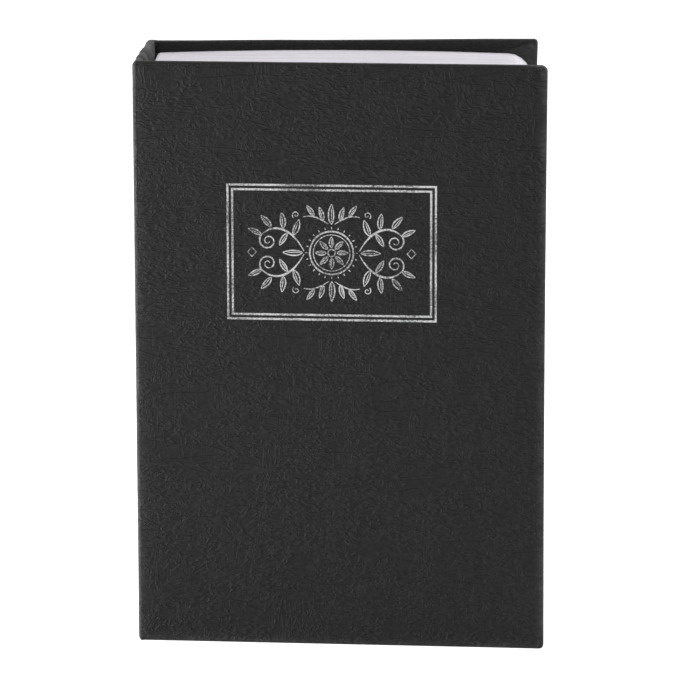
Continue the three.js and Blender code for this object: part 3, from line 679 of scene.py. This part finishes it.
def clear_of_back(y):
    """0 beside the back board, and 1 from 5 mm away from it."""
    return smooth_step((BACK_FACE - 0.4 - y) / 5)


def spine_end_drop(x, y, at_head):
    """How far the slack covering over the spine's head or tail lies inside the drawn height."""
    outer = np.clip(1 - x / SPINE_ROUND, 0, 1)
    rounding = SPINE_ROUND * arc_drop(outer)
    rounding = rounding + SPINE_INNER_ROUND * arc_drop(inner_round(x)) * clear_of_back(y)
    to_hinge = np.clip(1 - (y - SPINE_FRONT) / HEAD_DROP_REACH, 0, 1)
    head_drop = HEAD_DROP + HEAD_DROP_AT_HINGE * to_hinge ** 1.5
    return rounding + np.where(at_head, head_drop, 0.0)


def spine_steps():
    """Places across the spine board, closer where its head is rounded."""
    outer = SPINE_ROUND * (1 - np.cos(np.linspace(0, math.pi / 2, 7)))
    inner = SPINE_ROUND + (BOARD - SPINE_ROUND) * np.sin(np.linspace(0, math.pi / 2, 9))
    steps = np.unique(np.round(np.concatenate([outer, inner]), 4))
    return np.unique(np.append(steps[np.abs(steps - SKIN) > 0.12], SKIN))


def back_room():
    """The eight corners of the room for the back board."""
    inset = HOLLOW_INSET
    return np.array([book_point(a, b, c)
                     for a in (inset + 0.3, BACK_WIDTH - inset)
                     for b in (BACK_FACE + inset, THICKNESS - inset)
                     for c in (inset, COVER_HEIGHT - inset)])


def spine_room(inset):
    """The eight corners of the room inside the spine's covering, lower at its rounded ends."""
    beside_back = BACK_FACE - 0.23 + 0.06 * (HOLLOW_INSET - inset)
    outer_short, inner_short, head_short = 1.6, 5.4, 0.9
    corners = []
    for a, end_short in ((inset, outer_short), (BOARD - inset, inner_short)):
        for b in (SPINE_FRONT + inset, beside_back):
            lean = LEAN * (1 - b / THICKNESS)
            short = inset + end_short
            ends = (short, COVER_HEIGHT - short - head_short)
            corners += [book_point(a - lean, b, c) for c in ends]
    return np.array(corners)


def fading(to_end, reach):
    """1 at head and tail, falling to 0 at a distance from them."""
    return smooth_step(1 - to_end / reach)


def corner_bump(x, to_end, from_fore_edge, from_end, size):
    """A round bump of height 1 near the corners of the back's fore edge."""
    return np.exp(-((np.hypot(BACK_WIDTH - from_fore_edge - x, to_end - from_end) / size) ** 2))


def spine_and_back_piece():
    """The covered spine and back boards, one sheet, with a rebate for the hinge strip."""
    xs = np.concatenate([
        spine_steps()[:-1],
        spread(BOARD, 6, 3, TURN_IN, 7, BACK_WIDTH - TURN_IN, 70, BACK_WIDTH - 6, 12,
               BACK_WIDTH - CORNER, 10)[:-1],
        BACK_WIDTH - EDGE_STEPS[::-1]])
    ys = np.concatenate([
        spread(SPINE_FRONT, SPINE_REBATE, 1, BACK_FACE, 105), BACK_FACE + BACK_DEPTHS])
    zs = height_steps()
    xm, ym = middles(xs)[:, None, None], middles(ys)[None, :, None]
    filled = ((xm < BOARD) | (ym > BACK_FACE)) & np.ones(len(zs) - 1, bool)
    filled &= ~((xm < SKIN) & (ym < SPINE_REBATE))
    points, faces = lattice(xs, ys, zs, filled)
    x, y, z = points.T

    # Where each point lies
    back_share = np.clip((y - BACK_FACE) / BOARD, 0, 1)
    spine_share = np.clip(1 - x / BOARD, 0, 1) * np.clip((y - SPINE_REBATE) / 4, 0, 1)
    to_end = end_distance(z)
    outwards = np.sign(z - MID_HEIGHT)
    at_head = outwards > 0
    end_share = fading(to_end, SLACK)
    on_spine = x < BOARD + ON_FACE
    on_back_face = (np.abs(y - BACK_FACE) < ON_FACE) * (x > BOARD)

    # The slack covering at the spine's ends, and the uneven faces
    swell_y = board_swell(on_plane(x, z, 90), 3)
    swell_x = board_swell(np.stack([0 * x + 60, y, z], -1), 5)
    rumple = smooth_field(np.stack([x * 0.35, y, z * 0.35], -1), 1.5, 7)
    fold = smooth_field(np.stack([x * 0.9 + y * 0.3, y, z * 0.3], -1), 6.0, 8)
    drop = spine_end_drop(x, y, at_head) + np.where(at_head, 0.20 * fold + 0.12 * rumple, 0)
    crumple = end_share * on_spine * (0.18 * fold + 0.10 * rumple)
    inner_share = inner_round(x) * on_spine * (y < BACK_FACE)
    bulge_in = 0.75 * inner_share * fading(to_end, 11) * clear_of_back(y)
    lean = LEAN * (1 - y / THICKNESS) * np.clip(1 - (x - BOARD) / 8, 0, 1)

    # The back: its head line, its corner's flare, its bulge beside the spine, and its mitres,
    # with a knot and a pit where their folds meet
    slope = np.interp(x, HEAD_LINE_AT, HEAD_LINE) * at_head * fading(to_end, 60)
    past_turn_in = smooth_step((x - (BACK_WIDTH - TURN_IN)) / TURN_IN)
    flare = 0.22 * past_turn_in * at_head * fading(to_end, 12)
    bulge = 0.10 * np.exp(-((x - BOARD) / 4) ** 2) * back_share
    lap = mitre_lap(BACK_WIDTH - x, z) * LAP * on_back_face
    knot = corner_bump(x, to_end, from_fore_edge=2.3, from_end=2.7, size=0.9)
    knot = knot - 0.8 * corner_bump(x, to_end, from_fore_edge=1.5, from_end=1.3, size=0.6)

    # The corners and the arrises
    flat_z = z.copy()
    for end in ((0.0, -1), (COVER_HEIGHT, 1)):
        x, flat_z = disc_corner(x, flat_z, (BACK_WIDTH, 1), end, BACK_CORNER)
    outline = outline_frame(x, flat_z, -BACK_WIDTH, BACK_WIDTH, BACK_CORNER)
    x2, z2, from_back = round_arris(x, flat_z, THICKNESS - y, outline, BACK_ARRIS)
    x3, z3, from_face = round_arris(x, flat_z, y - BACK_FACE, outline, INNER_ARRIS)
    near_back = y > BACK_FACE + BOARD / 2
    near_face = ~near_back & (y >= BACK_FACE) & ~on_spine
    x = np.where(near_back, x2, np.where(near_face, x3, x))
    flat_z = np.where(near_back, z2, np.where(near_face, z3, flat_z))
    y = np.where(near_back, THICKNESS - from_back, np.where(near_face, BACK_FACE + from_face, y))
    x, y = disc_corner(x, y, (0.0, -1), (THICKNESS, 1), BACK_SPINE_ARRIS)

    z_moved = flat_z - outwards * drop * end_share * on_spine + slope * ~on_spine
    x = x - lean - swell_x * spine_share + crumple + bulge_in + flare
    y_moved = y + swell_y * back_share - lap - 0.4 * knot * on_back_face + bulge
    placed, faces = hollow(book_point(x, y_moved, z_moved), faces, back_room())
    placed, faces = hollow(placed, faces, spine_room(HOLLOW_INSET))
    obj = new_object("spine_and_back_leatherette", placed, faces)

    # The spine's ends painted lighter, partly as wear and partly as painted light; wear and painted highlights
    # along the edges and beside the fold; a lighter flap on the mitres
    flat_x, flat_y, flat_height = points.T
    facing_out = np.clip(1 - flat_x / SPINE_ROUND, 0, 1)
    held, fade = 5.0 - 4.6 * facing_out, 8.0 - 5.4 * facing_out
    # partly wear and partly painted light: the spine's rounded ends and its inner face beside them are painted
    # lighter
    worn_and_lit_end = smooth_step(1 - (to_end - held) / fade) * on_spine * (y_moved > SPINE_REBATE)
    wear_and_painted_light = worn_and_lit_end * (0.56 + 0.7 * fold)
    # wear and painted highlights along the fore edge, the tail, the fold and the back's head edge, and the lighter
    # flap on the mitres
    for worn_and_lit in (edge_wear_and_highlight(BACK_WIDTH - flat_x, 1.6) * 0.6,
                   edge_wear_and_highlight(flat_height, 1.6) * 0.34,
                   edge_wear_and_highlight(flat_y, 5.0) * FOLD_WEAR_AND_HIGHLIGHT * (flat_x < SKIN + ON_FACE),
                   edge_wear_and_highlight(COVER_HEIGHT - flat_height, 1.0) * 0.2 * ~on_spine,
                   LAP_LIGHTENING * (lap > 0.1)):
        wear_and_painted_light = np.maximum(wear_and_painted_light, worn_and_lit)
    # painted highlight on the knot at the mitre's corner
    give_wear_and_painted_light(obj, np.clip(wear_and_painted_light + 0.4 * np.maximum(knot, 0) * on_back_face, 0, 1))
    inner_spine = (BOARD + 1 + ORIGIN_X) * MM
    give_inside(obj, lambda middle, normal: normal.y < -FACING and middle.x > inner_spine)
    return obj


spine_and_back = spine_and_back_piece()
shade(spine_and_back, COVER_SHARP)
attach(spine_and_back, "case")
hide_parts("spine_and_back_wrap")
spine_board = board_in_hollow("spine_greyboard", spine_room(HOLLOW_INSET + BOARD_GAP), (4, 24, 90))
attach(spine_board, "case")
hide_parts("spine_board")


# ---------------------------------------------------------------- hinge strip

FOLD_CORNER = np.array([HINGE_X, HINGE_Y])
ALONG_SPINE = np.array([LEAN, THICKNESS]) / math.hypot(LEAN, THICKNESS)
ALONG_COVER = np.array([math.cos(REST_ANGLE), -math.sin(REST_ANGLE)])


def strip_line():
    """The outer line of the strip, seen from above: up the spine, round the fold, on the cover."""
    turn = math.acos(float(ALONG_SPINE @ ALONG_COVER))
    tangent = FOLD_RADIUS / math.tan(turn / 2)
    middle_way = ALONG_SPINE + ALONG_COVER
    middle_way = middle_way / np.linalg.norm(middle_way)
    centre = FOLD_CORNER + middle_way * FOLD_RADIUS / math.sin(turn / 2)
    start = FOLD_CORNER + ALONG_SPINE * ((SPINE_REBATE - FOLD_GAP) / ALONG_SPINE[1])
    end = FOLD_CORNER + ALONG_COVER * (FLAP - FOLD_GAP)
    arc_start = FOLD_CORNER + ALONG_SPINE * tangent
    arc_end = FOLD_CORNER + ALONG_COVER * tangent
    from_angle, to_angle = (math.atan2(*(p - centre)[::-1]) for p in (arc_start, arc_end))
    if to_angle < from_angle:
        to_angle += 2 * math.pi
    line = [start + (arc_start - start) * t for t in np.linspace(0, 1, 16)[:-1]]
    line += [centre + FOLD_RADIUS * np.array([math.cos(a), math.sin(a)])
             for a in np.linspace(from_angle, to_angle, 10)]
    line += [arc_end + (end - arc_end) * t for t in np.linspace(0, 1, 5)[1:]]
    return np.array(line)


def hinge_strip_piece():
    """The strip of covering that bends between the spine and the front board."""
    line = strip_line()
    along = np.gradient(line, axis=0)
    along /= np.linalg.norm(along, axis=1)[:, None]
    inwards = np.stack([-along[:, 1], along[:, 0]], -1)
    if inwards[0, 0] < 0:
        inwards = -inwards
    rim, rim_thinning = 0.25, 0.11
    zs = spread(0, rim, 2, 2, 4, COVER_HEIGHT - 2, 150, COVER_HEIGHT - rim, 4, COVER_HEIGHT, 2)
    points, faces = lattice(np.arange(len(line)), np.array([0.0, 0.5, 1.0]), zs,
                            np.ones((len(line) - 1, 2, len(zs) - 1), bool))
    i = points[:, 0].astype(int)
    depth, z = points[:, 1], points[:, 2]
    at, distance = line[i] - FOLD_CORNER, np.linalg.norm(line - FOLD_CORNER, axis=1)[i]
    on_cover, on_spine = at @ ALONG_COVER, at @ ALONG_SPINE

    # The sheet, thinner at its ends, with a ripple where it is free and a fall beside the fold
    end_share = np.clip((rim - end_distance(z)) / rim, 0, 1)
    thin = np.where(depth == 0.5, 0.0, end_share * rim_thinning)
    depth_mm = depth * (SKIN - FOLD_GAP) + np.where(depth < 0.5, thin, -thin)
    z = z - hinge_drop(np.maximum(on_cover, 0), z, smooth_step(on_spine / 4))
    free_at, free_reach = 1.4, 1.6
    free = np.clip(1 - np.abs(distance - free_at) / free_reach, 0, 1)
    ripple = 0.05 * smooth_field(on_plane(distance, z), 3.4, 11) * free
    fall = edge_fall(on_cover) * smooth_step(on_cover / 1.5)
    flat = line[i] + inwards[i] * (depth_mm + ripple + fall)[:, None]
    obj = new_object("hinge_leatherette", np.column_stack([flat * MM, z * MM]), faces)
    # wear and painted highlight beside the fold
    lightening_variation = 0.8 + 0.5 * smooth_field(on_plane(0 * z, z), 9.0, 43)
    give_wear_and_painted_light(obj, edge_wear_and_highlight(distance, 2.3) * FOLD_WEAR_AND_HIGHLIGHT * lightening_variation)
    obj.data.materials.append(leatherette)
    return obj


strip = hinge_strip_piece()
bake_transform(strip)


# ---------------------------------------------------------------- foil stamping

FOIL_LEFT, FOIL_TOP = 35.1, COVER_HEIGHT - 45.65
FOIL_WIDTH, FOIL_HEIGHT = 79.0, 52.0
FOIL_BAND, FOIL_PITCH = 0.78, 1.77
FOIL_CENTRE = np.array([FOIL_LEFT + FOIL_WIDTH / 2, FOIL_TOP - FOIL_HEIGHT / 2])
FOIL_LIFT, FOIL_THICKNESS = 0.03, 0.03
FOIL_STEP, FOIL_LEVELS = 0.0006, 9  # bands lie on different levels, so that none share a face
FOIL_RAGGED, RAGGED_SIZE = 0.05, 0.7


def ribbon(points, widths, closed=False):
    """A flat band along a line of points: its left and right edges."""
    points = np.asarray(points, float)
    if closed:
        along = np.roll(points, -1, 0) - np.roll(points, 1, 0)
    else:
        along = np.gradient(points, axis=0)
    along /= np.maximum(np.linalg.norm(along, axis=1), TINY)[:, None]
    side = np.stack([-along[:, 1], along[:, 0]], -1)
    half = np.broadcast_to(np.asarray(widths, float) / 2, len(points))[:, None]
    return points + side * half, points - side * half, closed


def frame_band(inset, width):
    """One line of the frame, as an outer and an inner rectangle with points a millimetre apart."""
    across, rise = np.linspace(-1, 1, 80)[:-1], np.linspace(-1, 1, 52)[:-1]
    edges = []
    for gap in (inset, inset + width):
        w, h = FOIL_WIDTH / 2 - gap, FOIL_HEIGHT / 2 - gap
        ring = [(a * w, -h) for a in across] + [(w, a * h) for a in rise]
        ring += [(-a * w, h) for a in across] + [(-w, -a * h) for a in rise]
        edges.append(np.array(ring))
    return edges[0], edges[1], True


def bezier(a, b, c, d, count):
    t = np.linspace(0, 1, count)[:, None]
    a, b, c, d = (np.array(p, float) for p in (a, b, c, d))
    return (1 - t) ** 3 * a + 3 * (1 - t) ** 2 * t * b + 3 * (1 - t) * t ** 2 * c + t ** 3 * d


def swelling(count, thin, thick):
    """Widths of a pen stroke that starts and ends thin."""
    return thin + (thick - thin) * np.sin(np.linspace(0, math.pi, count))


def stroke(a, b, c, d, count, thin, thick):
    """A curved pen stroke."""
    return ribbon(bezier(a, b, c, d, count), swelling(count, thin, thick))


def curl(centre, radius, start, turns, direction, shrink, thick, thin):
    """A pen stroke that winds in to a share of its first radius, and grows thinner."""
    t = np.linspace(0, 1, int(34 * turns))
    angle = start + direction * 2 * math.pi * turns * t
    r = radius * (1 - (1 - shrink) * t ** 0.85)
    line = np.stack([centre[0] + r * np.cos(angle), centre[1] + r * np.sin(angle)], -1)
    return ribbon(line, np.linspace(thick, thin, len(line)))


def leaf(base, tip, bulge):
    """The outline of a pointed leaf, with a vein."""
    base, tip = np.array(base, float), np.array(tip, float)
    along = tip - base
    side = np.array([-along[1], along[0]]) * bulge
    low, high, under = base + along * 0.2, base + along * 0.65, side * 0.7
    return [stroke(base, low + side, high + side, tip, 14, 0.28, 0.52),
            stroke(tip, high - under, low - under, base, 14, 0.28, 0.46),
            stroke(base + along * 0.1, base + along * 0.4, base + along * 0.55,
                   base + along * 0.78, 8, 0.16, 0.34)]


def mirrored(band, flip_x, flip_y):
    left, right, closed = band
    flip = np.array([-1 if flip_x else 1, -1 if flip_y else 1])
    pair = (left * flip, right * flip) if flip_x == flip_y else (right * flip, left * flip)
    return *pair, closed


def rosette_bands():
    """Two rings round eight leaves, with a ring of dashes outside."""
    circle = np.linspace(0, 2 * math.pi, 61)[:-1]
    ring = np.stack([np.cos(circle), np.sin(circle)], -1)
    bands = [ribbon(radius * ring, width, True)
             for radius, width in ((8.2, 0.62), (6.9, 0.34), (1.35, 0.5))]
    for k in range(8):
        c, s = math.cos(math.pi / 4 * k), math.sin(math.pi / 4 * k)
        bands += leaf((2.0 * c, 2.0 * s), (6.2 * c, 6.2 * s), 0.27)
    for k in range(24):
        c, s = math.cos(math.pi / 12 * k), math.sin(math.pi / 12 * k)
        bands.append(ribbon([(9.1 * c, 9.1 * s), (9.9 * c, 9.9 * s)], (0.42, 0.3)))
    return bands


def scroll_bands():
    """One quarter of the scrolls: a stem that ends in a curl, a tendril, a spray and leaves."""
    bands = [stroke((10.4, 0.6), (15.0, 9.5), (22.0, 11.5), (26.6, 6.4), 40, 0.3, 0.78),
             curl((23.9, 4.3), 3.45, 0.66, 1.55, -1, 0.16, 0.62, 0.3)]
    for base, tip, bulge in (((14.4, 6.6), (12.2, 12.6), 0.24),
                             ((18.2, 9.2), (18.8, 15.2), 0.24),
                             ((22.8, 9.6), (26.6, 14.0), 0.24),
                             ((16.6, 7.3), (19.6, 2.6), 0.22),
                             ((26.4, 6.6), (31.4, 9.0), 0.22)):
        bands += leaf(base, tip, bulge)
    bands += [curl((13.4, 14.4), 1.5, -0.9, 1.1, 1, 0.25, 0.4, 0.26),
              stroke((1.2, 11.0), (3.6, 12.4), (6.6, 14.8), (10.6, 13.6), 20, 0.26, 0.5)]
    return bands + leaf((3.2, 12.3), (4.6, 17.4), 0.22) + leaf((6.6, 13.9), (9.4, 18.0), 0.22)


def ornament_bands():
    """A rosette in the middle of four leafy scrolls, with single leaves and diamonds between."""
    bands = rosette_bands()
    for band in scroll_bands():
        bands += [mirrored(band, fx, fy) for fx in (False, True) for fy in (False, True)]
    for side in (-1, 1):
        bands += leaf((0, side * 10.9), (0, side * 18.6), 0.2)
        bands += leaf((side * 11.0, 0), (side * 18.4, 0), 0.2)
        diamond = [(side * 30.0, -1.8), (side * 31.6, 0), (side * 30.0, 1.8), (side * 28.4, 0)]
        bands.append(ribbon(diamond, 0.42, True))
    return bands


def foil_piece(name, bands, seed):
    """Foil bands as thin closed solids that follow the board's face."""
    points, faces = [], []
    for number, (left, right, closed) in enumerate(bands):
        flat = np.concatenate([left, right]) + FOIL_CENTRE
        rough = on_plane(*flat.T)
        ragged = [smooth_field(rough, RAGGED_SIZE, s) for s in (seed, seed + 1)]
        a, z = (flat + FOIL_RAGGED * np.stack(ragged, -1)).T
        face = -board_swell(on_plane(a, z), 1) - (FOIL_LIFT + FOIL_STEP * (number % FOIL_LEVELS))
        n, base = len(left), len(points)
        points += list(cover_point(a, face, z)) + list(cover_point(a, face + FOIL_THICKNESS, z))
        low = 2 * n
        for k in range(n if closed else n - 1):
            la, lb = base + k, base + (k + 1) % n
            ra, rb = la + n, lb + n
            faces += [(la, ra, rb, lb), (la + low, lb + low, rb + low, ra + low),
                      (la, lb, lb + low, la + low), (ra, ra + low, rb + low, rb)]
        if not closed:
            for k, order in ((0, 1), (n - 1, -1)):
                la, ra = base + k, base + n + k
                faces.append((la, la + low, ra + low, ra)[::order])
    obj = new_object(name, points, faces)
    obj.data.materials.append(foil)
    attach(obj, "front_cover")


foil_piece("foil_frame", [frame_band(0.0, FOIL_BAND), frame_band(FOIL_PITCH, FOIL_BAND)], 21)
foil_piece("foil_ornament", ornament_bands(), 31)


# ---------------------------------------------------------------- floor, light, camera

WHITE = (1, 1, 1, 1)
FLOOR_HALF = 4.0
FLOOR_GLOW = 0.86
WORLD_LIGHT = 0.12

MIDDLE = Vector((0, 0, 0.112))
LAMPS = {  # place and size in metres, power in watts
    "key": ((-1.80, -2.70, 3.79), (1.4, 1.4), 44.5),
    "left": ((-0.75, -0.14, 0.11), (0.3, 0.22), 11.0),
    "right": ((0.78, -0.16, 0.11), (0.3, 0.22), 2.0),
    "top": ((0.80, 0.46, 2.00), (1.4, 0.9), 32.8),
}

CAMERA_TARGET = Vector((77.5 + ORIGIN_X, 28.0 + ORIGIN_Y, 113.0)) * MM
YAW, ELEVATION, ROLL = math.radians(1.755), math.radians(12.249), math.radians(-0.13)
DISTANCE, SIDE, RISE = 1.7449, -0.002649, -0.00096
FOCAL_PIXELS, FRAME_PIXELS, SENSOR = 4552.0, 680.0, 36.0


def floor_piece():
    """A pale floor that the camera sees as white."""
    r = FLOOR_HALF
    obj = new_object("floor", [(-r, -r, 0), (r, -r, 0), (r, r, 0), (-r, r, 0)], [(0, 1, 2, 3)])
    n = Finish("floor")
    base = n.colours(n.noise(n.scaled(0.02, 0.02, 0.02)), 0.70, 0.74)
    glow = n.times(n.seen(), FLOOR_GLOW)
    n.finish(Base_Color=base, Roughness=0.9, Specular_IOR_Level=0.0, Emission_Color=WHITE,
             Emission_Strength=glow)
    obj.data.materials.append(n.material)


def studio_world():
    """White behind the object, and a weak even light on it."""
    world = bpy.data.worlds.new("studio")
    scene.world = world
    world.use_nodes = True
    n = Nodes(world.node_tree)
    strength = n.node("MapRange", {"Value": n.seen(), "To Min": WORLD_LIGHT, "To Max": 1.0})
    background = n.tree.nodes["Background"]
    n.feed(background.inputs["Strength"], strength.outputs["Result"])
    n.feed(background.inputs["Color"], WHITE)


def lamp(name, place, size, power):
    data = bpy.data.lights.new(name, "AREA")
    data.shape = "RECTANGLE"
    data.size, data.size_y = size
    data.energy = power
    obj = bpy.data.objects.new(name, data)
    scene.collection.objects.link(obj)
    obj.location = place
    obj.rotation_mode = "QUATERNION"
    obj.rotation_quaternion = (MIDDLE - Vector(place)).to_track_quat("-Z", "Y")


def photo_camera():
    """The camera, placed as a fit to the corners of the covers says."""
    back = Vector((math.sin(YAW) * math.cos(ELEVATION), -math.cos(YAW) * math.cos(ELEVATION),
                   math.sin(ELEVATION)))
    right = (-back).cross(Vector((0, 0, 1))).normalized()
    up = right.cross(-back)
    turned_right = right * math.cos(ROLL) + up * math.sin(ROLL)
    turned_up = up * math.cos(ROLL) - right * math.sin(ROLL)
    data = bpy.data.cameras.new("camera")
    camera = bpy.data.objects.new("camera", data)
    scene.collection.objects.link(camera)
    place = CAMERA_TARGET + back * DISTANCE + right * SIDE + up * RISE
    turn = Matrix((turned_right, turned_up, back)).transposed().to_4x4()
    camera.matrix_world = Matrix.Translation(place) @ turn
    data.sensor_width = SENSOR
    data.lens = FOCAL_PIXELS / FRAME_PIXELS * SENSOR
    data.clip_start, data.clip_end = 0.05, 50
    return camera


floor_piece()
studio_world()
for lamp_name, (lamp_place, lamp_size, lamp_power) in LAMPS.items():
    lamp(lamp_name, lamp_place, lamp_size, lamp_power)
scene.camera = photo_camera()
scene.view_settings.view_transform = "Standard"
